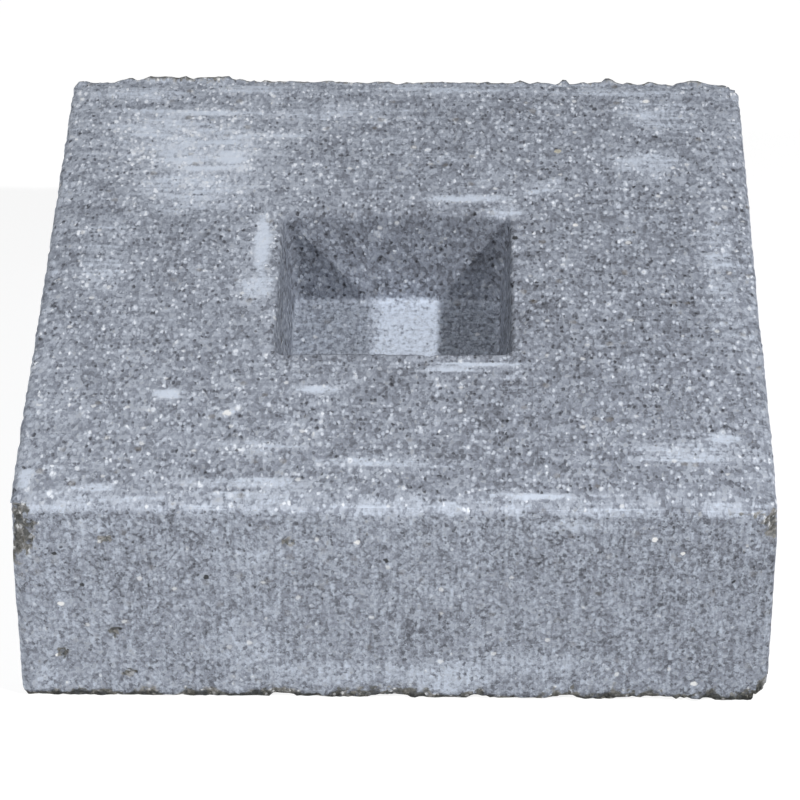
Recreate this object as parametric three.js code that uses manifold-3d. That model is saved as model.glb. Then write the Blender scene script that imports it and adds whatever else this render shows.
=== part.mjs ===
// A square precast concrete footing slab with one blind, square post pocket in its top.
// Millimetres, +Z up, +X to the right and -Y towards the viewer. The origin is the middle of the underside.

import * as THREE from 'three';
import { mergeVertices } from 'three/addons/utils/BufferGeometryUtils.js';
import Module from 'manifold-3d';

// Driving dimensions of the cast block.
const slabSide = 300; // outside, just above the underside
const slabHeight = 100; // underside to the flat of the top
const sideTaper = 1; // each side leans in by this much on the way up, so that the block leaves its mould
const cornerRadius = 3; // upright corners, in plan
const baseArris = 1; // small chamfer where the sides meet the underside
const bevelWidth = 10; // shallow bevel round the top
const bevelDrop = 1.5; // how far the bevel falls at its outer edge
const arrisRadius = 2; // rounding between the bevel and the sides

// Driving dimensions of the post pocket.
const pocketMouth = 97; // across the mouth, before its lip is rounded
const pocketFloor = 90; // across the floor
const pocketDepth = 42; // flat of the top to the floor
const pocketCornerRadius = 5; // upright corners, in plan
const pocketFloorFillet = 2; // between the walls and the floor
const pocketLipRadius = 1.5; // rounding of the mouth's edge
const pocketShiftX = -2; // the pocket sits a little left of the middle
const pocketShiftY = -3; // and a little nearer to the front

// Wear. Each chip is an ellipsoid that bites into an edge or a corner.
const notchHeight = 3.2; // how far a broken place in the foot's edge reaches up the front
const notchDepth = 2.4; // how far it reaches in under the block
const frontNotches = [
  { along: -46, width: 9 },
  { along: -3, width: 22 },
  { along: 34, width: 8 },
  { along: 67, width: 11 },
  { along: 108, width: 44 },
];
const wornFrontLeft = { reach: 10, height: 20 }; // broken upright corner under the top, front left
const wornFrontRight = { reach: 6, height: 12 }; // rubbed end of the front arris, front right
const wornFootRight = { reach: 7.5, height: 16 }; // rounded-off foot corner, front right
const wornBackLeft = { reach: 4.5, height: 7 }; // cut back corner of the top, left
const wornBackRight = { reach: 9, height: 10 }; // cut back corner of the top, right

// How finely curves are cut into facets.
const cornerSegments = 6;
const filletSegments = 3;
const chipDetail = 1;

const wasm = await Module();
wasm.setup();

/** One level of a block: half its width, its corner radius and its height. */
function level(half, radius, z) {
  return { half, radius: Math.max(radius, 0.5), z };
}

/** A square with round corners, drawn as one arc at each corner. */
function roundedSquare(half, radius) {
  const shape = new THREE.Shape();
  const centre = half - radius;
  const quarter = Math.PI / 2;
  [[1, 1], [-1, 1], [-1, -1], [1, -1]].forEach(([signX, signY], corner) => {
    shape.absarc(signX * centre, signY * centre, radius, corner * quarter, (corner + 1) * quarter, false);
  });
  return shape;
}

/** A block with square levels: an extrusion whose layers each take their own width, corner radius and height. */
function levelledBlock(levels) {
  const first = levels[0];
  const steps = levels.length - 1;
  const geometry = new THREE.ExtrudeGeometry(roundedSquare(first.half, first.radius), {
    depth: steps,
    steps,
    bevelEnabled: false,
    curveSegments: cornerSegments,
  });
  const position = geometry.attributes.position;
  const firstCentre = first.half - first.radius;
  for (let i = 0; i < position.count; i += 1) {
    const { half, radius, z } = levels[Math.round(position.getZ(i))];
    const place = (value) => {
      const side = Math.sign(value);
      const outward = (value - side * firstCentre) / first.radius;
      return side * (half - radius) + outward * radius;
    };
    position.setXYZ(i, place(position.getX(i)), place(position.getY(i)), z);
  }
  return geometry;
}

/** Turns a closed geometry into a solid that can be joined and cut. */
function toSolid(geometry) {
  const bare = geometry.clone();
  bare.deleteAttribute('normal');
  bare.deleteAttribute('uv');
  const merged = mergeVertices(bare, 1e-4);
  return new wasm.Manifold(new wasm.Mesh({
    numProp: 3,
    vertProperties: new Float32Array(merged.attributes.position.array),
    triVerts: new Uint32Array(merged.index.array),
  }));
}

/** Turns a solid back into a geometry with flat facets. */
function toGeometry(solid) {
  const { vertProperties, triVerts } = solid.getMesh();
  const indexed = new THREE.BufferGeometry();
  indexed.setAttribute('position', new THREE.BufferAttribute(vertProperties, 3));
  indexed.setIndex(new THREE.BufferAttribute(triVerts, 1));
  const geometry = indexed.toNonIndexed();
  geometry.computeVertexNormals();
  return geometry;
}

/** The cast block without its pocket: a tapered side, a rounded arris and a shallow bevel up to the top. */
function castBlock() {
  const baseHalf = slabSide / 2;
  const arrisHalf = baseHalf - sideTaper;
  const arrisTop = slabHeight - bevelDrop;
  const levels = [
    level(baseHalf - baseArris, cornerRadius - baseArris, 0),
    level(baseHalf, cornerRadius, baseArris),
  ];
  for (let i = 0; i <= filletSegments; i += 1) {
    const turn = (i / filletSegments) * (Math.PI / 2);
    const inset = arrisRadius * (1 - Math.cos(turn));
    levels.push(level(arrisHalf - inset, cornerRadius - inset, arrisTop - arrisRadius * (1 - Math.sin(turn))));
  }
  levels.push(level(arrisHalf - bevelWidth, cornerRadius - bevelWidth, slabHeight));
  return levelledBlock(levels);
}

/** What the post pocket takes out: floor fillet, leaning walls and a rounded lip, carried on above the top. */
function pocketCutter() {
  const mouthHalf = pocketMouth / 2;
  const floorHalf = pocketFloor / 2;
  const floorZ = slabHeight - pocketDepth;
  const levels = [];
  for (let i = 0; i <= filletSegments; i += 1) {
    const turn = (i / filletSegments) * (Math.PI / 2);
    const inset = pocketFloorFillet * (1 - Math.sin(turn));
    const rise = pocketFloorFillet * (1 - Math.cos(turn));
    levels.push(level(floorHalf - inset, pocketCornerRadius - inset, floorZ + rise));
  }
  for (let i = 0; i <= filletSegments; i += 1) {
    const turn = (i / filletSegments) * (Math.PI / 2);
    const outset = pocketLipRadius * (1 - Math.cos(turn));
    const below = pocketLipRadius * (1 - Math.sin(turn));
    levels.push(level(mouthHalf + outset, pocketCornerRadius + outset, slabHeight - below));
  }
  const above = slabHeight + pocketLipRadius;
  levels.push(level(mouthHalf + pocketLipRadius, pocketCornerRadius + pocketLipRadius, above));
  return levelledBlock(levels).translate(pocketShiftX, pocketShiftY, 0);
}

/** What one chip takes out: an ellipsoid of the given half-sizes, with its middle at the given place. */
function chipCutter(halfX, halfY, halfZ, x, y, z) {
  return new THREE.IcosahedronGeometry(1, chipDetail).scale(halfX, halfY, halfZ).translate(x, y, z);
}

/** The broken places along the foot's front edge, each one centred on the edge itself. */
function frontNotchCutters() {
  const frontY = -slabSide / 2;
  return frontNotches.map(({ along, width }) => (
    chipCutter(width / 2, notchDepth, notchHeight, along, frontY, 0)
  ));
}

/** A worn upright corner: the ellipsoid is centred outside the rounded corner and reaches in past it. */
function cornerCutter(signX, signY, { reach, height }, z) {
  const cornerHalf = slabSide / 2 - cornerRadius * (1 - Math.SQRT1_2);
  const outside = reach / 2;
  const place = cornerHalf + outside;
  return chipCutter(reach * 1.4, reach * 1.4, height, signX * place, signY * place, z);
}

/** The worn corners, in the order in which they are named above. */
function cornerCutters() {
  const arrisZ = slabHeight - bevelDrop;
  return [
    cornerCutter(-1, -1, wornFrontLeft, arrisZ - wornFrontLeft.height / 2),
    cornerCutter(1, -1, wornFrontRight, arrisZ - wornFrontRight.height / 3),
    cornerCutter(1, -1, wornFootRight, 0),
    cornerCutter(-1, 1, wornBackLeft, arrisZ),
    cornerCutter(1, 1, wornBackRight, arrisZ),
  ];
}

/** The finished slab as one solid. */
function footingSlab() {
  const cutters = [pocketCutter(), ...frontNotchCutters(), ...cornerCutters()];
  return cutters.reduce((block, cutter) => block.subtract(toSolid(cutter)), toSolid(castBlock()));
}

const concrete = new THREE.MeshStandardMaterial({ color: 0x9aa0ab, roughness: 0.93, metalness: 0 });

const slab = new THREE.Mesh(toGeometry(footingSlab()), concrete);
slab.name = 'footing_slab';

const footing = new THREE.Group();
footing.add(slab);

export default footing;
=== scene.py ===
"""A square precast concrete footing slab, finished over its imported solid.

The slab is one cast piece. Its mesh starts as a coarse block of quads made by bmesh operators. It is
divided finely, eased into its round corners, bevel and leaning pocket, and then worn: undulations, grain,
blowholes, broken edges and burrs. One procedural concrete dresses it.

Lengths are metres, +Z is up and -Y faces the viewer.
"""

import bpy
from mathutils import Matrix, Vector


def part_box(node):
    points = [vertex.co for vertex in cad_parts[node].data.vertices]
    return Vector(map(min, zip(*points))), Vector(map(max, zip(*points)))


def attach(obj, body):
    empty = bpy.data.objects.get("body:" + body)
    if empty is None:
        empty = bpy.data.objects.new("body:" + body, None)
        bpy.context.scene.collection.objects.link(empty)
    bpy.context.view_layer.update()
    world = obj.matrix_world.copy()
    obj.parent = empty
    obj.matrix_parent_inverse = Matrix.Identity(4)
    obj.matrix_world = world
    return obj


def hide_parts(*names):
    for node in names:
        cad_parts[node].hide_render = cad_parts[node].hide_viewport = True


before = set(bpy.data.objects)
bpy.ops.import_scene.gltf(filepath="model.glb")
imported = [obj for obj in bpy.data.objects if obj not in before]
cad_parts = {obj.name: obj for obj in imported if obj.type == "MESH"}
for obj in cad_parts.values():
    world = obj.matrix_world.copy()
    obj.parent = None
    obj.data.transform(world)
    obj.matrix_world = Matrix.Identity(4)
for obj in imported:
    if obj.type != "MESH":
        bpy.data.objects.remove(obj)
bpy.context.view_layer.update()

import logging
import math
import random
from dataclasses import dataclass, field
from enum import Enum

import bmesh
import bpy
import numpy as np
from mathutils import Euler, Matrix, Vector, kdtree, noise

MM = 0.001

log = logging.getLogger("footing")

Colour = tuple[float, float, float, float]
Spot = tuple[float, float, float]


class MathKind(Enum):
    """The Math node's operations that the finish uses."""

    ADD = "ADD"
    SUBTRACT = "SUBTRACT"
    MULTIPLY = "MULTIPLY"


class Mask(Enum):
    """The masks that the mesh carries for its finish, one value a point."""

    # Cement skin, and the painted pool of light across the pocket's floor.
    SKIN_AND_LIGHT = "cement_skin_and_painted_light"
    BROKEN = "broken_stone"
    UPRIGHT = "upright_face"
    # Cloudy tone, with painted shade in the pocket and painted bounce light low down.
    TONE = "tone_with_painted_light_and_shade"


class Wire:
    """One socket in a shader expression; arithmetic on it adds Math nodes."""

    def __init__(self, recipe: "Recipe", socket: bpy.types.NodeSocket) -> None:
        """Wraps one output socket of a recipe's tree."""
        self.recipe = recipe
        self.socket = socket

    def _math(self, kind: MathKind, first: "Wire | float", second: "Wire | float") -> "Wire":
        """Adds one Math node.

        Args:
            kind: The operation.
            first: The left operand.
            second: The right operand.

        Returns:
            The node's result.
        """
        node = self.recipe.node("ShaderNodeMath", {"operation": kind.value}, {0: first, 1: second})
        return Wire(self.recipe, node.outputs[0])

    def __add__(self, other: "Wire | float") -> "Wire":
        """Returns self + other."""
        return self._math(MathKind.ADD, self, other)

    def __radd__(self, other: float) -> "Wire":
        """Returns other + self."""
        return self._math(MathKind.ADD, other, self)

    def __sub__(self, other: "Wire | float") -> "Wire":
        """Returns self - other."""
        return self._math(MathKind.SUBTRACT, self, other)

    def __rsub__(self, other: float) -> "Wire":
        """Returns other - self."""
        return self._math(MathKind.SUBTRACT, other, self)

    def __mul__(self, other: "Wire | float") -> "Wire":
        """Returns self * other."""
        return self._math(MathKind.MULTIPLY, self, other)

    def __rmul__(self, other: float) -> "Wire":
        """Returns other * self."""
        return self._math(MathKind.MULTIPLY, other, self)

    def stepped(self, start: float, end: float) -> "Wire":
        """Goes smoothly from 0 at start to 1 at end.

        Args:
            start: The value that gives 0.
            end: The value that gives 1. It may lie below start.

        Returns:
            The stepped value.
        """
        node = self.recipe.node(
            "ShaderNodeMapRange",
            {"interpolation_type": "SMOOTHSTEP"},
            {"Value": self, "From Min": min(start, end), "From Max": max(start, end)},
        )
        step = Wire(self.recipe, node.outputs["Result"])
        return 1 - step if start > end else step


Feed = Wire | float | tuple[float, ...]


@dataclass(frozen=True)
class Cells:
    """Scattered cells: how far each spot is from its cell's middle, and three lots drawn for each cell."""

    reach: Wire
    first_lot: Wire
    second_lot: Wire
    third_lot: Wire


class Recipe:
    """One material's node tree, with the few patterns that concrete is mixed from."""

    def __init__(self, name: str) -> None:
        """Starts an empty node tree in a new material of that name."""
        self.material = bpy.data.materials.new(name)
        self.material.use_nodes = True
        self.tree = self.material.node_tree
        self.tree.nodes.clear()

    def node(
        self,
        kind: str,
        settings: dict[str, object],
        sockets: dict[str | int, Feed],
        stops: tuple[tuple[float, Colour], ...] = (),
    ) -> bpy.types.Node:
        """Adds one node: its settings and ramp stops first, then what feeds its sockets.

        Args:
            kind: The node's type.
            settings: The node's own properties.
            sockets: For each input, by name or number, a value or a wire.
            stops: The place and colour of each stop of a ramp.

        Returns:
            The new node.
        """
        made = self.tree.nodes.new(kind)
        for name, value in settings.items():
            setattr(made, name, value)
        for index, (place, colour) in enumerate(stops):
            elements = made.color_ramp.elements
            element = elements[index] if index < len(elements) else elements.new(place)
            element.position = place
            element.color = colour
        for name, value in sockets.items():
            if isinstance(value, Wire):
                self.tree.links.new(value.socket, made.inputs[name])
            else:
                made.inputs[name].default_value = value
        return made

    def place(self) -> Wire:
        """Returns the place on the slab, in metres."""
        return Wire(self, self.node("ShaderNodeTexCoord", {}, {}).outputs["Object"])

    def mask(self, mask: Mask) -> Wire:
        """Returns one of the mesh's own masks."""
        node = self.node("ShaderNodeAttribute", {"attribute_name": mask.value}, {})
        return Wire(self, node.outputs["Fac"])

    def scaled(self, place: Wire, size: float, stretch: Spot, shift: float) -> Wire:
        """Scales a place so that a pattern of scale 1 has features of the given size.

        Args:
            place: The place on the slab.
            size: The size of one feature.
            stretch: How many times longer the features are along X, Y and Z.
            shift: How far the pattern is moved, so that no two patterns fall together.

        Returns:
            The scaled place.
        """
        node = self.node(
            "ShaderNodeMapping",
            {"vector_type": "POINT"},
            {
                "Vector": place,
                "Location": (shift, shift, shift),
                "Scale": tuple(1 / (size * longer) for longer in stretch),
            },
        )
        return Wire(self, node.outputs["Vector"])

    def clouds(self, spot: Wire, detail: float, roughness: float = 0.5) -> tuple[Wire, Wire]:
        """A cloudy pattern.

        Args:
            spot: The scaled place.
            detail: How many finer layers it has.
            roughness: How strong the finer layers are.

        Returns:
            A value of about -0.5 to 0.5, and a vector that wanders in the same way.
        """
        sockets = {"Vector": spot, "Scale": 1.0, "Detail": detail, "Roughness": roughness}
        node = self.node("ShaderNodeTexNoise", {"noise_dimensions": "3D"}, sockets)
        return Wire(self, node.outputs["Fac"]) - 0.5, Wire(self, node.outputs["Color"])

    def nudged(self, spot: Wire, wander: Wire, share: float) -> Wire:
        """Moves a scaled place by a share of a wandering vector, so that cells aren't straight-sided."""
        sockets = {0: wander, 1: (share,) * 3, 2: spot}
        node = self.node("ShaderNodeVectorMath", {"operation": "MULTIPLY_ADD"}, sockets)
        return Wire(self, node.outputs["Vector"])

    def cells(self, spot: Wire) -> Cells:
        """Scatters cells, one for each unit of the scaled place."""
        node = self.node("ShaderNodeTexVoronoi", {"feature": "F1"}, {"Vector": spot, "Scale": 1.0})
        split = self.node("ShaderNodeSeparateColor", {}, {"Color": Wire(self, node.outputs["Color"])})
        lots = (Wire(self, socket) for socket in split.outputs)
        return Cells(Wire(self, node.outputs["Distance"]), *lots)

    def blended(self, kind: str, first: Feed, second: Feed, share: Feed) -> Wire:
        """Mixes two vectors or colours.

        Args:
            kind: VECTOR or RGBA.
            first: The one where the share is 0.
            second: The one where the share is 1.
            share: How much of the second one counts.

        Returns:
            The mixture.
        """
        at = {"VECTOR": (0, 4, 5, 1), "RGBA": (0, 6, 7, 2)}[kind]
        node = self.node("ShaderNodeMix", {"data_type": kind}, {at[0]: share, at[1]: first, at[2]: second})
        return Wire(self, node.outputs[at[3]])

    def tint(self, first: Feed, second: Feed, share: Feed) -> Wire:
        """Mixes two colours; the share says how much of the second one shows."""
        return self.blended("RGBA", first, second, share)

    def distance(self, place: Wire, middle: Spot) -> Wire:
        """Returns how far a place is from a fixed point."""
        node = self.node("ShaderNodeVectorMath", {"operation": "DISTANCE"}, {0: place, 1: middle})
        return Wire(self, node.outputs["Value"])

    def ramp(self, share: Wire, stops: tuple[tuple[float, Colour], ...]) -> Wire:
        """Looks a share up in a ramp of colours."""
        node = self.node("ShaderNodeValToRGB", {}, {"Fac": share}, stops)
        return Wire(self, node.outputs["Color"])

    def finish(self, colour: Wire, roughness: Wire, height: Wire, relief: float, gloss: float) -> None:
        """Closes the recipe with one shader.

        Args:
            colour: The base colour.
            roughness: The roughness.
            height: The height of the fine relief, from 0 to 1.
            relief: How far the fine relief stands up, in metres.
            gloss: The shader's specular level.
        """
        bump = self.node("ShaderNodeBump", {}, {"Strength": 1.0, "Distance": relief, "Height": height})
        shader = self.node(
            "ShaderNodeBsdfPrincipled",
            {},
            {
                "Base Color": colour,
                "Roughness": roughness,
                "Normal": Wire(self, bump.outputs["Normal"]),
                "Specular IOR Level": gloss,
            },
        )
        self.node("ShaderNodeOutputMaterial", {}, {"Surface": Wire(self, shader.outputs["BSDF"])})


@dataclass(frozen=True)
class Grain:
    """One grain or pinhole that stands out by itself, seen on the slab's surface."""

    middle: Spot
    radius: float
    colour: Colour


@dataclass(frozen=True)
class ConcreteFinish:
    """Open, speckled grey precast concrete.

    It has cement skin where the mould or the trowel closed it, sand that shows as pale and dark grains,
    pinholes painted as dark spots of shade, and brown stone with a little moss where it broke.
    """

    tones: tuple[tuple[float, Colour], ...] = (
        (0.00, (0.030, 0.031, 0.035, 1.0)),
        (0.25, (0.117, 0.125, 0.148, 1.0)),
        (0.50, (0.265, 0.290, 0.345, 1.0)),
        (0.75, (0.468, 0.509, 0.588, 1.0)),
        (1.00, (0.800, 0.835, 0.900, 1.0)),
    )
    rubble_tones: tuple[tuple[float, Colour], ...] = (
        (0.00, (0.020, 0.020, 0.014, 1.0)),
        (0.30, (0.105, 0.100, 0.080, 1.0)),
        (0.55, (0.255, 0.245, 0.225, 1.0)),
        (0.75, (0.400, 0.410, 0.430, 1.0)),
        (1.00, (0.800, 0.800, 0.780, 1.0)),
    )
    paste: Colour = (0.600, 0.665, 0.775, 1.0)
    white_grain: Colour = (0.780, 0.795, 0.820, 1.0)
    brown_grain: Colour = (0.170, 0.145, 0.110, 1.0)
    pinhole_shade: Colour = (0.035, 0.035, 0.038, 1.0)
    sand_size: float = 1.9 * MM
    grit_size: float = 3.6 * MM
    gravel_size: float = 7.0 * MM
    fine_size: float = 1.9 * MM
    streak_size: float = 2.6 * MM
    grain_shape: Spot = (0.85, 1.35, 1.0)
    usual_tone: float = 0.478
    # The skin mask's lift and paste tint also brighten the painted light strip on the pocket's floor.
    skin_and_light_lift: float = 0.26
    skin_and_light_cover: float = 0.82
    white_cover: float = 0.65
    pinhole_shade_cover: float = 0.75
    spot_cover: float = 0.9
    rubble_cover: float = 0.85
    fine_relief: float = 0.40 * MM
    gloss: float = 0.25

    def material(self, grains: tuple[Grain, ...]) -> bpy.types.Material:
        """Builds the concrete.

        Args:
            grains: The grains that stand out by themselves.

        Returns:
            The finished material.
        """
        mix = Recipe("precast_concrete")
        place = mix.place()
        skin = mix.mask(Mask.SKIN_AND_LIGHT)
        broken = mix.mask(Mask.BROKEN)
        upright = mix.mask(Mask.UPRIGHT)
        # cloudy carries the tone mask: its clouds, with the painted shade in the pocket and the painted
        # bounce light low down.
        cloudy = mix.mask(Mask.TONE)

        plain = (1.0, 1.0, 1.0)
        fine, wander = mix.clouds(mix.scaled(place, self.fine_size, self.grain_shape, 1.3), 2.0, 0.65)
        sand = mix.cells(mix.nudged(mix.scaled(place, self.sand_size, self.grain_shape, 4.4), wander, 0.9))
        grit = mix.cells(mix.nudged(mix.scaled(place, self.grit_size, self.grain_shape, 6.3), wander, 0.45))
        gravel = mix.cells(mix.nudged(mix.scaled(place, self.gravel_size, plain, 9.1), wander, 0.25))
        level_streaks = mix.scaled(place, self.streak_size, (8.0, 1.0, 1.0), 5.2)
        upright_streaks = mix.scaled(place, self.streak_size * 0.6, (1.0, 1.0, 14.0), 2.4)
        streaks, _ = mix.clouds(mix.blended("VECTOR", level_streaks, upright_streaks, upright), 2.0)

        ragged_skin_and_light = skin + streaks * (1.5 - upright * 0.9) + fine * 1.1 + (sand.second_lot - 0.5) * 0.40
        cover = ragged_skin_and_light.stepped(0.22, 1.0)
        open_share = 1 - cover * 0.55
        pale_speck = sand.first_lot.stepped(0.70, 0.90) * sand.reach.stepped(0.60, 0.30)
        dark_speck = sand.second_lot.stepped(0.72, 0.90) * sand.reach.stepped(0.56, 0.25)
        pale_grit = grit.first_lot.stepped(0.68, 0.90) * grit.reach.stepped(0.50, 0.16)
        dark_grit = grit.third_lot.stepped(0.76, 0.86) * grit.reach.stepped(0.40, 0.20)
        pale = pale_speck * (0.30 - upright * 0.16) + pale_grit * (0.30 - upright * 0.18)
        dark = dark_speck * (0.26 - upright * 0.06) + dark_grit * (0.18 - upright * 0.10)
        grain = sand.third_lot - 0.5

        streak_tone = streaks * (0.22 - upright * 0.10)
        speckle = (pale - dark + grain * 0.28 + fine * 0.58) * open_share
        # Painted light and shade come in through the masks: the tone mask darkens the pocket and lightens
        # the slab low down, and the skin mask lifts a strip across the pocket's floor.
        tone = self.usual_tone + cloudy + skin * self.skin_and_light_lift + streak_tone + speckle
        colour = mix.ramp(tone, self.tones)
        colour = mix.tint(colour, self.paste, cover * self.skin_and_light_cover)

        white = gravel.first_lot.stepped(0.84, 0.86) * gravel.reach.stepped(0.20, 0.10)
        brown = gravel.second_lot.stepped(0.84, 0.88) * gravel.reach.stepped(0.30, 0.14)
        # Painted shade: pinholes are near-black spots, with no hollow made for them.
        holes = grit.second_lot.stepped(0.82, 0.84) * grit.reach.stepped(0.22, 0.12)
        open_pinhole_shade = holes * open_share * (1 - pale_grit)
        colour = mix.tint(colour, self.brown_grain, brown * open_share * (0.40 - upright * 0.20))
        colour = mix.tint(colour, self.white_grain, white * self.white_cover)
        colour = mix.tint(colour, self.pinhole_shade, open_pinhole_shade * self.pinhole_shade_cover)
        for grain_spot in grains:
            ragged = mix.distance(place, grain_spot.middle) + fine * (grain_spot.radius * 1.6)
            shown = ragged.stepped(grain_spot.radius * 1.15, grain_spot.radius * 0.7)
            colour = mix.tint(colour, grain_spot.colour, shown * self.spot_cover)

        rubble_share = (broken + fine * 1.2 + grain * 0.7).stepped(0.25, 0.75)
        rubble_mix = 0.06 + cloudy * 1.1 + grit.third_lot * 0.45 + sand.first_lot * 0.35
        rubble = mix.ramp(rubble_mix + fine * 0.7 + pale_speck * 0.45, self.rubble_tones)
        colour = mix.tint(colour, rubble, rubble_share * self.rubble_cover)

        roughness = 0.95 - cover * 0.12 + fine * 0.08
        height = 0.5 + (fine * 0.9 + pale_speck * 0.3 - dark_speck * 0.5 + grain * 0.3) * open_share
        mix.finish(colour, roughness, height, self.fine_relief, self.gloss)
        return mix.material


@dataclass(frozen=True)
class Patch:
    """One place where cement skin closed the surface: a soft ellipse."""

    centre: Spot
    half_size: Spot
    strength: float = 1.0

    def cover(self, points: np.ndarray) -> np.ndarray:
        """Returns how far the patch covers each point, from 0 to its strength."""
        apart = np.linalg.norm((points - self.centre) / self.half_size, axis=1)
        return self.strength * smooth(1.25 - apart)


@dataclass(frozen=True)
class Bite:
    """One broken place: an ellipsoid that takes material away, driven in along one direction."""

    centre: Spot
    half_size: Spot
    way: Spot
    raggedness: float = 0.25
    stone: float = 1.0

    def ragged(self, points: np.ndarray) -> np.ndarray:
        """Returns the ragged ellipsoid's size near each point, around 1."""
        return 1 + self.raggedness * fractal(points, 4 * MM, 2)

    def reach(self, points: np.ndarray) -> np.ndarray:
        """Returns each point's distance from the middle, in shares of the ragged ellipsoid's size."""
        apart = np.linalg.norm((points - self.centre) / self.half_size, axis=1)
        return apart / self.ragged(points)

    def push(self, points: np.ndarray) -> np.ndarray:
        """Moves the points inside the ellipsoid straight in until they lie on its far surface.

        Args:
            points: The places to wear away.

        Returns:
            The worn places.
        """
        way = np.array(self.way) / np.linalg.norm(self.way)
        offset = (points - self.centre) / self.half_size
        step = way / self.half_size
        along = offset @ step
        left_over = np.maximum(self.ragged(points) ** 2 - (offset * offset).sum(axis=1), 0)
        square = step @ step
        travel = (np.sqrt(along * along + square * left_over) - along) / square
        return points + np.where(left_over > 0, travel, 0)[:, None] * way


def smooth(share: np.ndarray) -> np.ndarray:
    """Eases a share of 0 to 1 in and out, and holds it beyond them."""
    held = np.clip(share, 0, 1)
    return held * held * (3 - 2 * held)


def fractal(points: np.ndarray, size: float, layers: int, shift: float = 0.0) -> np.ndarray:
    """Cloudy relief.

    Args:
        points: Where it is read.
        size: The size of its largest features.
        layers: How many layers it has, each half the size of the one before.
        shift: How far the pattern is moved.

    Returns:
        A value of about -1 to 1 for each point.
    """
    scaled = points / size + shift
    return np.array([noise.fractal(Vector(spot), 1.0, 2.0, layers) for spot in scaled])


def rounded(first: np.ndarray, second: np.ndarray) -> tuple[np.ndarray, np.ndarray]:
    """Turns the square corner between two coordinates into a quarter circle.

    Args:
        first: How far each point is past the start of the rounding along one coordinate.
        second: The same along the other coordinate.

    Returns:
        Both coordinates after the rounding. Points that aren't past both starts keep theirs.
    """
    inside = (first > 0) & (second > 0)
    reach = np.maximum(np.maximum(first, second), 1e-9)
    turn = (math.pi / 4) * np.minimum(first, second) / reach
    long_side, short_side = reach * np.cos(turn), reach * np.sin(turn)
    leads = first >= second
    return (
        np.where(inside, np.where(leads, long_side, short_side), first),
        np.where(inside, np.where(leads, short_side, long_side), second),
    )


def outline_distance(
    across: np.ndarray, along: np.ndarray, half: float, radius: float
) -> tuple[np.ndarray, np.ndarray, np.ndarray]:
    """How far points in plan are outside a square with round corners.

    Args:
        across: The points' first coordinate, from the square's middle.
        along: Their second coordinate.
        half: Half the square's width.
        radius: Its corner radius.

    Returns:
        The distance, below 0 inside, and the outward direction's two parts.
    """
    past_x = np.abs(across) - (half - radius)
    past_y = np.abs(along) - (half - radius)
    corner = np.hypot(np.maximum(past_x, 0), np.maximum(past_y, 0))
    distance = corner + np.minimum(np.maximum(past_x, past_y), 0) - radius
    in_corner = (past_x > 0) & (past_y > 0)
    safe = np.maximum(corner, 1e-9)
    way_x = np.where(in_corner, past_x / safe, (past_x >= past_y).astype(float))
    way_y = np.where(in_corner, past_y / safe, (past_x < past_y).astype(float))
    return distance, way_x * np.sign(across), way_y * np.sign(along)


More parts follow.
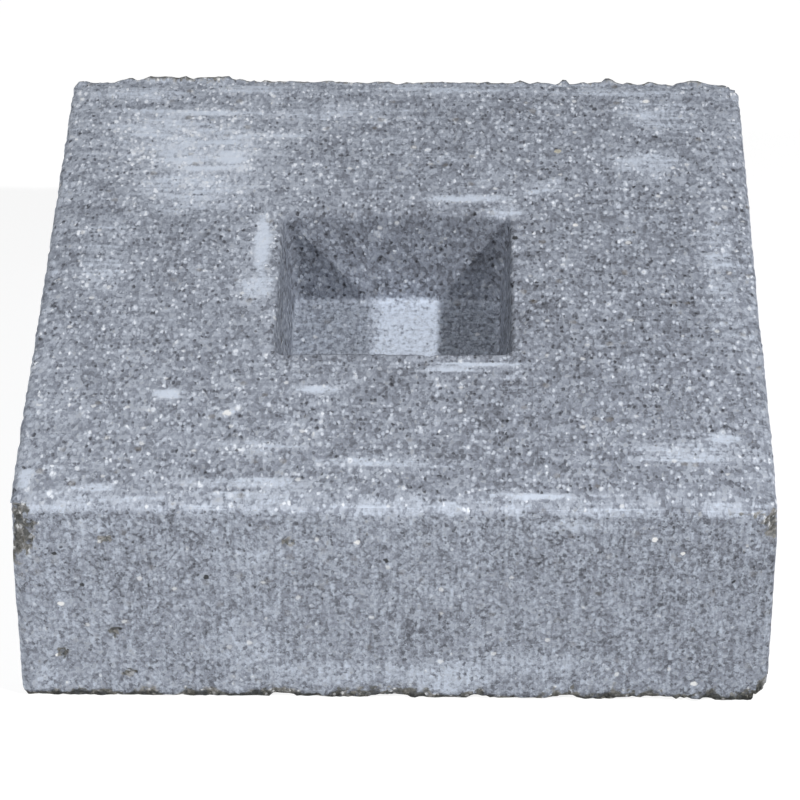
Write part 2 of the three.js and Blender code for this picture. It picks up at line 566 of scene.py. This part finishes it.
@dataclass
class CastSlab:
    """The slab's one cast piece: its sizes, its mesh, its wear and its finish."""

    node: str = "footing_slab"
    body: str = "root"
    side_taper: float = 1 * MM
    corner_radius: float = 3 * MM
    base_arris: float = 1 * MM
    bevel_width: float = 10 * MM
    bevel_drop: float = 1.5 * MM
    arris_radius: float = 2 * MM
    pocket_mouth: float = 97 * MM
    pocket_floor: float = 88 * MM
    pocket_depth: float = 43.5 * MM
    pocket_corner_radius: float = 5 * MM
    floor_fillet: float = 1 * MM
    lip_radius: float = 1.5 * MM
    pocket_shift: tuple[float, float] = (-2 * MM, -3 * MM)
    foot_notches: tuple[tuple[float, float], ...] = ((-46, 9), (-3, 22), (34, 8), (67, 11), (108, 44))
    facet: float = 1.6 * MM
    underside_facet: float = 6 * MM
    weld: float = 0.01 * MM
    blowhole_count: int = 900
    blowhole_radius: tuple[float, float] = (1.6 * MM, 3.2 * MM)
    blowhole_depth: tuple[float, float] = (0.35 * MM, 1.1 * MM)
    seed: int = 41
    finish: ConcreteFinish = field(default_factory=ConcreteFinish)

    def __post_init__(self) -> None:
        """Reads the block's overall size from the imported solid."""
        low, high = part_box(self.node)
        self.half = (high.x - low.x) / 2
        self.height = high.z
        self.mouth_half = self.pocket_mouth / 2
        self.floor_half = self.pocket_floor / 2
        self.floor_z = self.height - self.pocket_depth

    def build(self) -> bpy.types.Object:
        """Builds, wears and dresses the slab.

        Returns:
            The finished piece.
        """
        mesh = self.block()
        points = np.empty(len(mesh.vertices) * 3)
        mesh.vertices.foreach_get("co", points)
        points = self.ease(points.reshape(-1, 3))
        self.store(mesh, points)
        skin, upright, tone = self.skin(points), self.upright(points), self.tone(points)
        points = self.relieve(mesh, points, skin)
        points, broken = self.wear(points)
        points[:, 2] = np.clip(points[:, 2], 0, None)
        self.store(mesh, points)
        masks = {Mask.SKIN_AND_LIGHT: skin, Mask.BROKEN: broken, Mask.UPRIGHT: upright, Mask.TONE: tone}
        for mask, values in masks.items():
            mesh.attributes.new(mask.value, "FLOAT", "POINT").data.foreach_set("value", values)
        mesh.polygons.foreach_set("use_smooth", [True] * len(mesh.polygons))
        mesh.materials.append(self.finish.material(self.grains()))
        piece = bpy.data.objects.new("footing_slab_cast", mesh)
        bpy.context.scene.collection.objects.link(piece)
        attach(piece, self.body)
        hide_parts(self.node)
        return piece

    @staticmethod
    def store(mesh: bpy.types.Mesh, points: np.ndarray) -> None:
        """Writes the points back to the mesh."""
        mesh.vertices.foreach_set("co", np.ascontiguousarray(points).ravel())
        mesh.update()

    def block(self) -> bpy.types.Mesh:
        """Makes the square block with its square pocket, finely divided.

        Returns:
            The mesh of quads, open corners and edges still sharp.
        """
        bm = bmesh.new()
        bmesh.ops.create_grid(bm, x_segments=1, y_segments=1, size=self.half)
        bmesh.ops.translate(bm, verts=bm.verts, vec=(0, 0, self.height))
        self.cut_mouth(bm)
        self.sink_pocket(bm)
        self.drop_sides(bm)
        self.divide(bm)
        self.close_underside(bm)
        bmesh.ops.remove_doubles(bm, verts=bm.verts, dist=self.weld)
        bmesh.ops.recalc_face_normals(bm, faces=bm.faces)
        mesh = bpy.data.meshes.new("footing_slab_cast")
        bm.to_mesh(mesh)
        bm.free()
        return mesh

    def cut_mouth(self, bm: bmesh.types.BMesh) -> None:
        """Cuts the top along the four lines of the pocket's mouth."""
        for axis in (0, 1):
            for side in (-1, 1):
                normal, place = Vector((0, 0, 0)), Vector((0, 0, 0))
                normal[axis] = 1
                place[axis] = self.pocket_shift[axis] + side * self.mouth_half
                parts = [*bm.verts, *bm.edges, *bm.faces]
                bmesh.ops.bisect_plane(bm, geom=parts, plane_co=place, plane_no=normal)

    def sink_pocket(self, bm: bmesh.types.BMesh) -> None:
        """Pushes the mouth's face down to the pocket's floor."""
        middle = Vector((*self.pocket_shift, self.height))
        mouth = min(bm.faces, key=lambda face: (face.calc_center_median() - middle).length)
        sunk = bmesh.ops.extrude_face_region(bm, geom=[mouth])["geom"]
        if mouth.is_valid:
            bmesh.ops.delete(bm, geom=[mouth], context="FACES_ONLY")
        corners = [part for part in sunk if isinstance(part, bmesh.types.BMVert)]
        bmesh.ops.translate(bm, verts=corners, vec=(0, 0, -self.pocket_depth))

    def drop_sides(self, bm: bmesh.types.BMesh) -> None:
        """Draws the top's outer edges down to the foot."""
        rim = [edge for edge in bm.edges if edge.is_boundary]
        drawn = bmesh.ops.extrude_edge_only(bm, edges=rim)["geom"]
        feet = [part for part in drawn if isinstance(part, bmesh.types.BMVert)]
        bmesh.ops.translate(bm, verts=feet, vec=(0, 0, -self.height))

    def divide(self, bm: bmesh.types.BMesh) -> None:
        """Divides every stretch of the coarse block along X, Y and Z into facets of about one size."""
        for axis in (0, 1, 2):
            stretches: dict[tuple[float, float], list[bmesh.types.BMEdge]] = {}
            for edge in bm.edges:
                ends = sorted(vert.co[axis] for vert in edge.verts)
                if ends[1] - ends[0] > 0.1 * MM:
                    stretches.setdefault(tuple(round(end, 6) for end in ends), []).append(edge)
            for (start, end), edges in sorted(stretches.items()):
                cuts = round((end - start) / self.facet) - 1
                bmesh.ops.subdivide_edges(bm, edges=edges, cuts=cuts, use_grid_fill=True)

    def close_underside(self, bm: bmesh.types.BMesh) -> None:
        """Closes the underside with a coarser grid, joined to the finely divided foot."""
        foot = [edge for edge in bm.edges if edge.is_boundary]
        inner_half = self.half - self.underside_facet
        count = round(2 * inner_half / self.underside_facet)
        made = bmesh.ops.create_grid(bm, x_segments=count, y_segments=count, size=inner_half)
        grid = set(made["verts"])
        inner = [edge for edge in bm.edges if edge.is_boundary and edge.verts[0] in grid]
        bmesh.ops.triangle_fill(bm, edges=[*foot, *inner], use_beauty=True, normal=(0, 0, -1))

    def ease(self, points: np.ndarray) -> np.ndarray:
        """Gives the square block its taper, round corners, bevel, leaning pocket and fillets.

        Args:
            points: The square block's points.

        Returns:
            The same points on the cast form.
        """
        x, y, z = points.T.copy()
        local_x, local_y = x - self.pocket_shift[0], y - self.pocket_shift[1]
        spread = np.maximum(np.abs(local_x), np.abs(local_y))
        in_pocket = (spread < self.mouth_half + self.weld) & (z > self.weld)
        x, y, z = self.ease_outside(x, y, z, ~in_pocket)
        x, y, z = self.ease_pocket(x, y, z, in_pocket)
        return np.stack([x, y, z], axis=1)

    def ease_outside(
        self, x: np.ndarray, y: np.ndarray, z: np.ndarray, outer: np.ndarray
    ) -> tuple[np.ndarray, np.ndarray, np.ndarray]:
        """Rounds the upright corners and the arrises, and sinks the bevel.

        Args:
            x: The points' X.
            y: Their Y.
            z: Their Z.
            outer: Which points lie outside the pocket.

        Returns:
            The eased X, Y and Z.
        """
        start = self.half - self.corner_radius
        past_x, past_y = rounded(np.abs(x) - start, np.abs(y) - start)
        x = np.where(outer, np.sign(x) * (start + past_x), x)
        y = np.where(outer, np.sign(y) * (start + past_y), y)
        distance, way_x, way_y = outline_distance(x, y, self.half, self.corner_radius)
        inward = np.clip(1 + distance / self.bevel_width, 0, 1) * outer

        moved, new_z = self.arris(distance, z, self.height, self.arris_radius, 1)
        moved, new_z = self.arris(moved, new_z, 0.0, self.base_arris, -1)
        taper = self.side_taper * (z / self.height) * inward
        shift = np.where(outer, moved - distance, 0) - taper
        x, y = x + way_x * shift, y + way_y * shift
        z = np.where(outer, new_z, z)
        return x, y, z - self.bevel_drop * inward * (z / self.height)

    @staticmethod
    def arris(
        distance: np.ndarray, z: np.ndarray, level: float, radius: float, up: int
    ) -> tuple[np.ndarray, np.ndarray]:
        """Rounds one level edge of a convex form.

        Args:
            distance: How far each point is outside the outline.
            z: The points' Z.
            level: The Z of the edge.
            radius: The rounding's radius.
            up: 1 for a top edge, -1 for a bottom edge.

        Returns:
            The new distance and Z.
        """
        out, rise = rounded(distance + radius, (z - level) * up + radius)
        return out - radius, level + (rise - radius) * up

    def ease_pocket(
        self, x: np.ndarray, y: np.ndarray, z: np.ndarray, in_pocket: np.ndarray
    ) -> tuple[np.ndarray, np.ndarray, np.ndarray]:
        """Leans the pocket's walls, and rounds its corners, lip and floor.

        Args:
            x: The points' X.
            y: Their Y.
            z: Their Z.
            in_pocket: Which points lie in the pocket or on its mouth.

        Returns:
            The eased X, Y and Z.
        """
        lx, ly = x - self.pocket_shift[0], y - self.pocket_shift[1]
        held_x = np.clip(lx, -self.mouth_half, self.mouth_half)
        held_y = np.clip(ly, -self.mouth_half, self.mouth_half)
        start = self.mouth_half - self.pocket_corner_radius
        past_x, past_y = rounded(np.abs(held_x) - start, np.abs(held_y) - start)
        away = np.hypot(lx - held_x, ly - held_y)
        near = smooth(1 - away / (2 * self.pocket_corner_radius)) * (z > self.floor_z - self.floor_fillet)
        lx = lx + near * (np.sign(held_x) * (start + past_x) - held_x)
        ly = ly + near * (np.sign(held_y) * (start + past_y) - held_y)

        distance, way_x, way_y = outline_distance(lx, ly, self.mouth_half, self.pocket_corner_radius)
        top = z > self.height - 4 * self.lip_radius
        lip_out, lip_rise = rounded(self.lip_radius - distance, z - self.height + self.lip_radius)
        at_lip = top & (np.abs(distance) < 4 * self.lip_radius)
        lip_shift = np.where(at_lip, (self.lip_radius - lip_out) - distance, 0)
        lip_z = np.where(at_lip, self.height - self.lip_radius + lip_rise, z)

        wall_gap, floor_gap = rounded(self.floor_fillet + distance, self.floor_fillet - (z - self.floor_z))
        low = in_pocket & (z < self.height / 2 + self.floor_z / 2)
        floor_shift = np.where(low, (wall_gap - self.floor_fillet) - distance, 0)
        floor_z = np.where(low, self.floor_z + self.floor_fillet - floor_gap, lip_z)

        shift = lip_shift + floor_shift
        lx, ly = lx + way_x * shift, ly + way_y * shift
        depth_share = np.clip((self.height - z) / self.pocket_depth, 0, 1)
        lean = 1 - depth_share * (1 - self.floor_half / self.mouth_half) * in_pocket
        return lx * lean + self.pocket_shift[0], ly * lean + self.pocket_shift[1], floor_z

    def upright(self, points: np.ndarray) -> np.ndarray:
        """Returns 1 on the block's outer sides, 0.5 in the pocket and 0 on its top and underside."""
        distance, _, _ = outline_distance(points[:, 0], points[:, 1], self.half, self.corner_radius)
        below_top = smooth((self.height - self.bevel_drop - points[:, 2]) / (2 * MM))
        outside = smooth(1 + (distance + 1.5 * MM) / (1 * MM)) * below_top
        return np.maximum(outside, 0.5 * self.in_pocket(points) * below_top)

    def in_pocket(self, points: np.ndarray) -> np.ndarray:
        """Returns 1 for the points of the pocket and 0 for all others."""
        from_middle = np.abs(points[:, :2] - self.pocket_shift)
        return (from_middle.max(axis=1) < self.mouth_half + 0.5 * MM) & (points[:, 2] > self.floor_z / 2)

    def front_at(self, height: float) -> float:
        """Returns the front's Y at a height: it leans back a little on the way up."""
        return -self.half + self.side_taper * height / self.height

    def grains(self) -> tuple[Grain, ...]:
        """Lists the grains and pinholes that stand out by themselves.

        Returns:
            The grains on the top, then those on the front.
        """
        # The black spots are pinholes painted in shade; some sit in a shallow break, the others have no
        # hollow under them.
        white, yellow, pinhole_shade_black = (0.85, 0.85, 0.85, 1.0), (0.55, 0.52, 0.42, 1.0), (0.03, 0.03, 0.03, 1.0)
        on_top = (
            (107.2, 132.6, 1.6, white),
            (73.9, 38.3, 1.3, white),
            (67.5, 93.3, 1.5, yellow),
            (48.3, 28.6, 1.4, pinhole_shade_black),
            (-67.0, -91.0, 2.0, white),
        )
        on_front = (
            (101.8, 85.3, 1.2, white),
            (113.0, 78.2, 0.9, white),
            (120.2, 9.9, 1.3, white),
            (-131.5, 50.0, 1.3, white),
            (-14.0, 82.6, 1.2, white),
            (-132.6, 75.6, 1.2, pinhole_shade_black),
            (-122.6, 59.6, 1.1, pinhole_shade_black),
            (-73.5, 64.3, 1.1, pinhole_shade_black),
            (-2.8, 73.4, 1.2, pinhole_shade_black),
            (-130.2, 25.3, 0.7, pinhole_shade_black),
            (-134.6, 22.3, 0.8, white),
            (-110.6, 84.6, 0.7, pinhole_shade_black),
            (-108.9, 36.6, 0.8, pinhole_shade_black),
            (-103.4, 14.0, 0.8, pinhole_shade_black),
        )
        top = [Grain((x * MM, y * MM, self.height), radius * MM, colour) for x, y, radius, colour in on_top]
        front = [
            Grain((x * MM, self.front_at(z * MM), z * MM), radius * MM, colour)
            for x, z, radius, colour in on_front
        ]
        return (*top, *front)

    def tone(self, points: np.ndarray) -> np.ndarray:
        """Works out the concrete's broad light and dark clouds.

        Args:
            points: The cast form's points.

        Returns:
            How much lighter or darker than usual each point is, around 0.
        """
        clouds = (
            0.025 * fractal(points, 70 * MM, 2, 3.0)
            + 0.040 * fractal(points, 24 * MM, 2, 5.0)
            + 0.070 * fractal(points, 8 * MM, 2, 7.0)
        )
        x, y, z = points.T
        side, top = self.upright(points), 1 - self.upright(points)
        front = y < -self.half + 4 * MM
        # Painted bounce light from the floor: lighter towards the foot.
        foot = 0.03 * smooth((35 * MM - z) / (45 * MM))
        left_side = 0.058 * smooth((40 * MM - x) / (110 * MM)) * top
        far_side = 0.025 * smooth((y - 30 * MM) / (60 * MM)) * top
        far_corner = (-90 * MM, 95 * MM, self.height)
        pale_corner = 0.06 * Patch(far_corner, (52 * MM, 44 * MM, 8 * MM)).cover(points)
        paler = clouds + foot + left_side + far_side + pale_corner

        front_face = 0.115 * side * front
        # Darker along the bottom few millimetres of the sides.
        darker_foot_band = 0.28 * smooth(1.4 - z / (3 * MM)) * side
        upper_right = smooth(x / (110 * MM)) * smooth((z - 30 * MM) / (40 * MM))
        lower_right = smooth((x - 60 * MM) / (40 * MM)) * smooth((60 * MM - z) / (30 * MM))
        front_right = 0.05 * (upper_right + lower_right) * front
        # Painted shade: the pocket's walls are darkened, and its floor more.
        above_floor = smooth((z - self.floor_z - 1.5 * MM) / (2 * MM))
        pocket = self.in_pocket(points) * (0.085 - 0.035 * above_floor)
        return paler - front_face - darker_foot_band - front_right - pocket

    def skin(self, points: np.ndarray) -> np.ndarray:
        """Works out where cement skin closes the surface.

        Args:
            points: The cast form's points.

        Returns:
            The skin's cover, with a painted pool of light as a paler strip across the pocket's floor, from
            0 to about 1.
        """
        x, y, z = points.T
        patches = (
            # On the top, from the back to the front: middle X and Y, half sizes, strength.
            (-120, 137, 22, 6, 0.58), (-70, 141, 34, 5, 0.60), (20, 141, 60, 4, 0.55),
            (95, 139, 35, 5, 0.55), (-97, 121, 42, 3, 0.80), (-108, 108, 28, 18, 0.58),
            (-60, 104, 28, 3, 0.70), (-30, 120, 44, 9, 0.42), (-75, 87, 10, 8, 1.00),
            (-98, 84, 15, 3, 0.95), (-85, 78, 26, 3.5, 0.90), (-82, 65, 28, 4, 0.62),
            (-92, 97, 38, 20, 0.60), (-92, 62, 30, 20, 0.52), (-58.5, 25, 4.2, 25, 1.15),
            (-59, -8, 8, 16, 0.60), (28, 57, 26, 4, 0.78), (44, 48, 12, 6, 0.64),
            (60, 66, 16, 8, 0.50), (111, 122, 22, 16, 0.56), (105, 84, 20, 12, 0.52),
            (-91.5, -79, 7.5, 4.5, 1.15), (-30.5, -75, 12, 2.6, 1.00), (-66, -90, 3, 3.5, 0.85),
            (34, -58.5, 27, 1.8, 0.95), (22, -62, 16, 2.5, 0.60), (118, -114, 26, 10, 0.52),
            (130, -105, 9, 5, 0.72), (-55, -112, 20, 4, 0.50), (-10, -122, 40, 5, 0.50),
            (-144, -132, 4, 8, 1.00), (-118, -138, 14, 3, 0.90), (-60, -134, 35, 4, 0.62),
            (55, -141, 22, 2.5, 0.90), (-125, 10, 14, 30, 0.32), (134, 10, 9, 70, 0.42),
        )
        cover = np.zeros(len(points))
        for along, back, half_along, half_back, strength in patches:
            middle = (along * MM, back * MM, self.height)
            size = (half_along * MM, half_back * MM, 6 * MM)
            cover = np.maximum(cover, Patch(middle, size, strength).cover(points))
        smears = (
            # On the front, where the paste ran down behind the mould: middle X and Z, half sizes, strength.
            (-118, 90, 16, 7, 0.55), (72, 92, 30, 5, 0.62), (-60, 30, 30, 26, 0.48),
            (-20, 14, 60, 12, 0.50), (50, 20, 60, 14, 0.48), (-138, 12, 10, 12, 0.50),
            (20, 60, 20, 14, 0.46), (-60, 75, 40, 14, 0.46), (50, 60, 16, 25, 0.40),
            (22, 13, 30, 17, 0.64),
        )
        for along, up, half_along, half_up, strength in smears:
            middle = (along * MM, -self.half, up * MM)
            size = (half_along * MM, 6 * MM, half_up * MM)
            cover = np.maximum(cover, Patch(middle, size, strength).cover(points))
        distance, _, _ = outline_distance(x, y, self.half, self.corner_radius)
        edge_band = smooth(1 + (distance + 2 * MM) / (1.5 * self.bevel_width)) * (z > self.height - 4 * MM)
        level_edge = np.where(np.abs(y) > np.abs(x), np.where(y < 0, 0.50, 0.36), 0.20)
        # Painted light: the pocket's floor gets paler skin, and a paler strip across its middle stands in
        # for the pool of light between the rims' shadows.
        on_floor = smooth((self.floor_z + 3 * MM - z) / (2 * MM)) * self.in_pocket(points)
        painted_light_strip = smooth((17 * MM - np.abs(x - 3 * MM)) / (6 * MM))
        floor_skin_and_light_strip = on_floor * (0.42 + 0.30 * painted_light_strip)
        edge_skin = edge_band * level_edge * (0.85 + 0.5 * fractal(points, 11 * MM, 2, 8.0))
        front_skin = 0.36 * self.upright(points) * (1 - self.in_pocket(points))
        return np.maximum.reduce([cover, edge_skin, floor_skin_and_light_strip, front_skin])

    def relieve(self, mesh: bpy.types.Mesh, points: np.ndarray, skin: np.ndarray) -> np.ndarray:
        """Raises the cast surface's undulations and grain, and sinks its blowholes.

        Args:
            mesh: The mesh, for its normals.
            points: The cast form's points.
            skin: Where cement skin closes the surface, and the painted light strip on the pocket's floor.

        Returns:
            The relieved points.
        """
        normals = np.empty(len(mesh.vertices) * 3)
        mesh.vertices.foreach_get("normal", normals)
        normals = normals.reshape(-1, 3)
        openness = 1 - 0.7 * np.clip(skin, 0, 1)
        rise = (
            0.22 * MM * fractal(points, 60 * MM, 2)
            + 0.20 * MM * fractal(points, 13 * MM, 2, 4.0) * openness
            + 0.24 * MM * fractal(points, 4.2 * MM, 2, 9.0) * openness
        )
        distance, _, _ = outline_distance(points[:, 0], points[:, 1], self.half, self.corner_radius)
        near_top = smooth((points[:, 2] - self.height) / (5 * MM) + 1.2)
        at_arris = smooth(1 + (distance + 1.5 * MM) / (2.5 * MM)) * near_top
        rise += 0.65 * MM * fractal(points, 3.6 * MM, 2, 11.0) * at_arris
        rise -= self.blowholes(points, openness)
        return points + normals * rise[:, None]

    def blowholes(self, points: np.ndarray, openness: np.ndarray) -> np.ndarray:
        """Scatters small holes over the surface.

        Args:
            points: The cast form's points.
            openness: How open the surface is at each point.

        Returns:
            How deep each point is sunk.
        """
        draw = random.Random(self.seed)
        tree = kdtree.KDTree(len(points))
        for index, point in enumerate(points):
            tree.insert(point, index)
        tree.balance()
        # bmesh doesn't keep the points in the same order in each run, so they are drawn by place.
        by_place = np.lexsort(np.round(points / self.weld).T)
        sunk = np.zeros(len(points))
        for _ in range(self.blowhole_count):
            index = by_place[draw.randrange(len(points))]
            radius = draw.uniform(*self.blowhole_radius)
            depth = draw.uniform(*self.blowhole_depth) * openness[index]
            for _, near, apart in tree.find_range(points[index], radius):
                sunk[near] = max(sunk[near], depth * (1 - (apart / radius) ** 2))
        return sunk

    def wear(self, points: np.ndarray) -> tuple[np.ndarray, np.ndarray]:
        """Breaks the corners, the foot's edge and the arris, and raises the burrs at the back.

        Args:
            points: The relieved points.

        Returns:
            The worn points, and how far each one shows broken stone.
        """
        broken = np.zeros(len(points))
        worn = points
        for bite in self.bites():
            reach = bite.reach(worn)
            worn = bite.push(worn)
            broken = np.maximum(broken, bite.stone * smooth((1.22 - reach) / 0.4))
        worn, frayed = self.fray_foot(worn)
        worn, burred = self.raise_burrs(worn)
        return worn, np.maximum.reduce([broken, frayed, burred])

    def bites(self) -> list[Bite]:
        """Lists the broken places: the solid's corners and notches, and small breaks beside them.

        Returns:
            The broken places.
        """
        arris_z = self.height - self.bevel_drop
        corner = self.half - self.corner_radius * (1 - math.sqrt(0.5))
        made = [
            self.corner_bite(corner, (-1, -1), 9.5 * MM, 20 * MM, arris_z - 9 * MM, -0.3),
            self.corner_bite(corner, (1, -1), 6 * MM, 12 * MM, arris_z - 4 * MM, -0.3),
            self.corner_bite(corner, (1, -1), 7.5 * MM, 16 * MM, 0, 0.4),
            self.corner_bite(corner, (-1, 1), 4.5 * MM, 7 * MM, arris_z, -0.5),
            self.corner_bite(corner, (1, 1), 9 * MM, 10 * MM, arris_z, -0.5),
        ]
        rubbed_edge = (-self.half - 1.5 * MM, -self.half - 1.5 * MM, 55 * MM)
        made.append(Bite(rubbed_edge, (4.6 * MM, 4.6 * MM, 42 * MM), (1, 1, 0), 0.15, 0.1))
        crumbled_back = (-136 * MM, self.half + 1 * MM, self.height)
        made.append(Bite(crumbled_back, (14 * MM, 4.5 * MM, 3.5 * MM), (0, -0.8, -0.6), 0.30, 0.3))
        for along, width in self.foot_notches:
            half_size = (width / 2 * MM, 1.9 * MM, 2.0 * MM)
            made.append(Bite((along * MM, -self.half, 0), half_size, (0, 1, 0.5), 0.45))
        # Along the front arris: place, width and how much stone shows.
        arris_breaks = ((92, 13, 0.3), (118, 10, 0.3), (141, 17, 0.8), (-128, 7, 0.2), (12, 5, 0.2))
        for along, width, stone in arris_breaks:
            half_size = (width / 2 * MM, 1.3 * MM, 1.5 * MM)
            place = (along * MM, self.front_at(self.height), arris_z)
            made.append(Bite(place, half_size, (0, 0.7, -0.7), 0.45, stone))
        # On the front: place, height and radius.
        front_breaks = ((-132, 24, 2.6), (-113, 83, 3.2), (-112, 35, 2.6), (-106, 13, 3.0), (-41, 82, 2.6))
        for along, up, radius in front_breaks:
            half_size = (radius * MM, 0.9 * MM, 0.8 * radius * MM)
            made.append(Bite((along * MM, self.front_at(up * MM), up * MM), half_size, (0, 1, 0), 0.6, 0.7))
        return made

    @staticmethod
    def corner_bite(
        corner: float, signs: tuple[int, int], reach: float, height: float, z: float, climb: float
    ) -> Bite:
        """Makes the bite of one worn corner.

        Args:
            corner: How far out the rounded corner's middle is, along X and Y.
            signs: Which corner it is.
            reach: How far the bite reaches past the corner, as in the solid.
            height: Half its height.
            z: The height of its middle.
            climb: How far it climbs on its way in.

        Returns:
            The bite.
        """
        place = corner + reach / 2
        half_size = (reach * 1.4, reach * 1.4, height)
        way = (-0.7 * signs[0], -0.7 * signs[1], climb)
        return Bite((signs[0] * place, signs[1] * place, z), half_size, way)

    def fray_foot(self, points: np.ndarray) -> tuple[np.ndarray, np.ndarray]:
        """Crumbles the foot's edge all the way round, most of all at the front.

        Args:
            points: The points before it.

        Returns:
            The frayed points, and how far each one shows broken stone.
        """
        x, y, z = points.T
        distance, way_x, way_y = outline_distance(x, y, self.half, self.corner_radius)
        at_edge = smooth(1 + (distance + 0.5 * MM) / (3 * MM))
        climb = (2.6 + 3.8 * fractal(points * (1, 1, 0), 7 * MM, 3, 2.0)) * MM
        for along, width in self.foot_notches:
            beside = np.abs(x - along * MM) / (width * MM)
            clump = 0.7 + 1.6 * fractal(points, 3 * MM, 2, 4.0)
            climb += 3.2 * MM * clump * smooth(1.2 - beside) * (y < -self.half + 6 * MM)
        climb = np.maximum(climb, 0.8 * MM)
        frayed = smooth(1 - z / (2 * climb)) * at_edge
        bite = frayed * (0.9 + 0.6 * fractal(points, 3 * MM, 2, 6.0)) * MM
        moved = points - np.stack([way_x, way_y, np.zeros_like(x)], axis=1) * bite[:, None]
        front_share = np.where(y < -self.half + 6 * MM, 1.0, 0.7)
        return moved, smooth(1.5 - z / climb) * at_edge * front_share

    def raise_burrs(self, points: np.ndarray) -> tuple[np.ndarray, np.ndarray]:
        """Raises the few burrs that the mould left on the back arris.

        Args:
            points: The points before it.

        Returns:
            The burred points, and how far each one shows broken stone.
        """
        shown = np.zeros(len(points))
        burred = points.copy()
        back = self.half - self.side_taper
        arris_z = self.height - self.bevel_drop
        burrs = (
            # Place along the arris, half the width, and rise.
            (-100, 40, 1.8), (-116, 9, 1.0), (-84, 12, 1.0), (0, 160, 0.7), (51, 3, 1.2), (71, 2.5, 1.3),
            (90, 4, 1.6), (104, 36, 0.9), (129, 8, 2.0),
        )
        for along, half_width, rise in burrs:
            middle = np.array((along * MM, back, arris_z))
            apart = np.linalg.norm((points - middle) / (half_width * MM, 2.4 * MM, 2.4 * MM), axis=1)
            near = smooth(1.2 - apart)
            ragged = 1 + 0.5 * fractal(points, 3 * MM, 1, 3.0)
            burred += (near * ragged * rise * MM)[:, None] * np.array((0, 0.5, 0.85))
            shown = np.maximum(shown, near)
        return burred, shown


@dataclass(frozen=True)
class Softbox:
    """One studio light: a square lamp that looks at the slab."""

    name: str
    towards: Spot
    distance: float
    width: float
    watts: float

    def place(self, aim: Vector) -> None:
        """Hangs the lamp in its direction from the point that it looks at."""
        data = bpy.data.lights.new(self.name, "AREA")
        data.shape = "SQUARE"
        data.size = self.width
        data.energy = self.watts
        lamp = bpy.data.objects.new(self.name, data)
        way = Vector(self.towards).normalized()
        lamp.location = aim + way * self.distance
        lamp.rotation_euler = (-way).to_track_quat("-Z", "Y").to_euler()
        bpy.context.scene.collection.objects.link(lamp)


@dataclass
class Studio:
    """The plain pale floor, the soft lights, the surrounding light and the camera."""

    floor_half: float = 3.0
    floor_colour: Colour = (0.22, 0.22, 0.22, 1.0)
    floor_roughness: float = 0.9
    floor_gloss: float = 0.1
    floor_glow: float = 0.86
    world_colour: Colour = (1.0, 1.0, 1.0, 1.0)
    world_strength: float = 0.01
    lamp_aim: Spot = (0.0, 0.0, 90 * MM)
    aim: Spot = (0.48 * MM, -31.15 * MM, 59.47 * MM)
    camera_distance: float = 1555.4 * MM
    camera_pitch: float = 38.60
    camera_turn: float = 1.27
    camera_roll: float = -0.38
    lens: float = 167.46
    sensor: float = 36.0
    lights: tuple[Softbox, ...] = (
        Softbox("left_lamp", (-0.92, -0.95, 1.0), 1.6, 0.05, 13.2),
        Softbox("right_lamp", (0.75, -0.42, 1.0), 1.6, 0.06, 22.0),
    )

    def build(self) -> None:
        """Lays the floor, hangs the lights and sets up the camera."""
        self.lay_floor()
        self.fill_world()
        for light in self.lights:
            light.place(Vector(self.lamp_aim))
        self.set_camera()

    def lay_floor(self) -> None:
        """Lays the floor that the slab stands on."""
        bm = bmesh.new()
        bmesh.ops.create_grid(bm, x_segments=1, y_segments=1, size=self.floor_half)
        mesh = bpy.data.meshes.new("pale_floor")
        bm.to_mesh(mesh)
        bm.free()
        recipe = Recipe("pale_floor")
        shader = recipe.node(
            "ShaderNodeBsdfPrincipled",
            {},
            {
                "Base Color": self.floor_colour,
                "Roughness": self.floor_roughness,
                "Specular IOR Level": self.floor_gloss,
                "Emission Color": self.world_colour,
                "Emission Strength": self.floor_glow,
            },
        )
        surface = Wire(recipe, shader.outputs["BSDF"])
        recipe.node("ShaderNodeOutputMaterial", {}, {"Surface": surface})
        mesh.materials.append(recipe.material)
        floor = bpy.data.objects.new("pale_floor", mesh)
        bpy.context.scene.collection.objects.link(floor)

    def fill_world(self) -> None:
        """Fills the room with an even, pale light."""
        world = bpy.data.worlds.new("studio")
        world.use_nodes = True
        background = world.node_tree.nodes["Background"]
        background.inputs["Color"].default_value = self.world_colour
        background.inputs["Strength"].default_value = self.world_strength
        bpy.context.scene.world = world

    def set_camera(self) -> None:
        """Looks at the slab from the photograph's viewing angle."""
        data = bpy.data.cameras.new("camera")
        data.lens = self.lens
        data.sensor_width = self.sensor
        camera = bpy.data.objects.new("camera", data)
        tilt = math.radians(90 - self.camera_pitch)
        look = Euler((tilt, 0, math.radians(self.camera_turn))).to_matrix()
        look = look @ Matrix.Rotation(math.radians(self.camera_roll), 3, "Z")
        camera.rotation_euler = look.to_euler()
        camera.location = Vector(self.aim) + look @ Vector((0, 0, self.camera_distance))
        bpy.context.scene.collection.objects.link(camera)
        bpy.context.scene.camera = camera
        bpy.context.scene.view_settings.view_transform = "Standard"


def main() -> None:
    """Builds the slab and the studio round it."""
    logging.basicConfig(level=logging.INFO, format="%(name)s: %(message)s")
    piece = CastSlab().build()
    log.info("%s has %d faces", piece.name, len(piece.data.polygons))
    Studio().build()


if __name__ == "__main__":
    main()
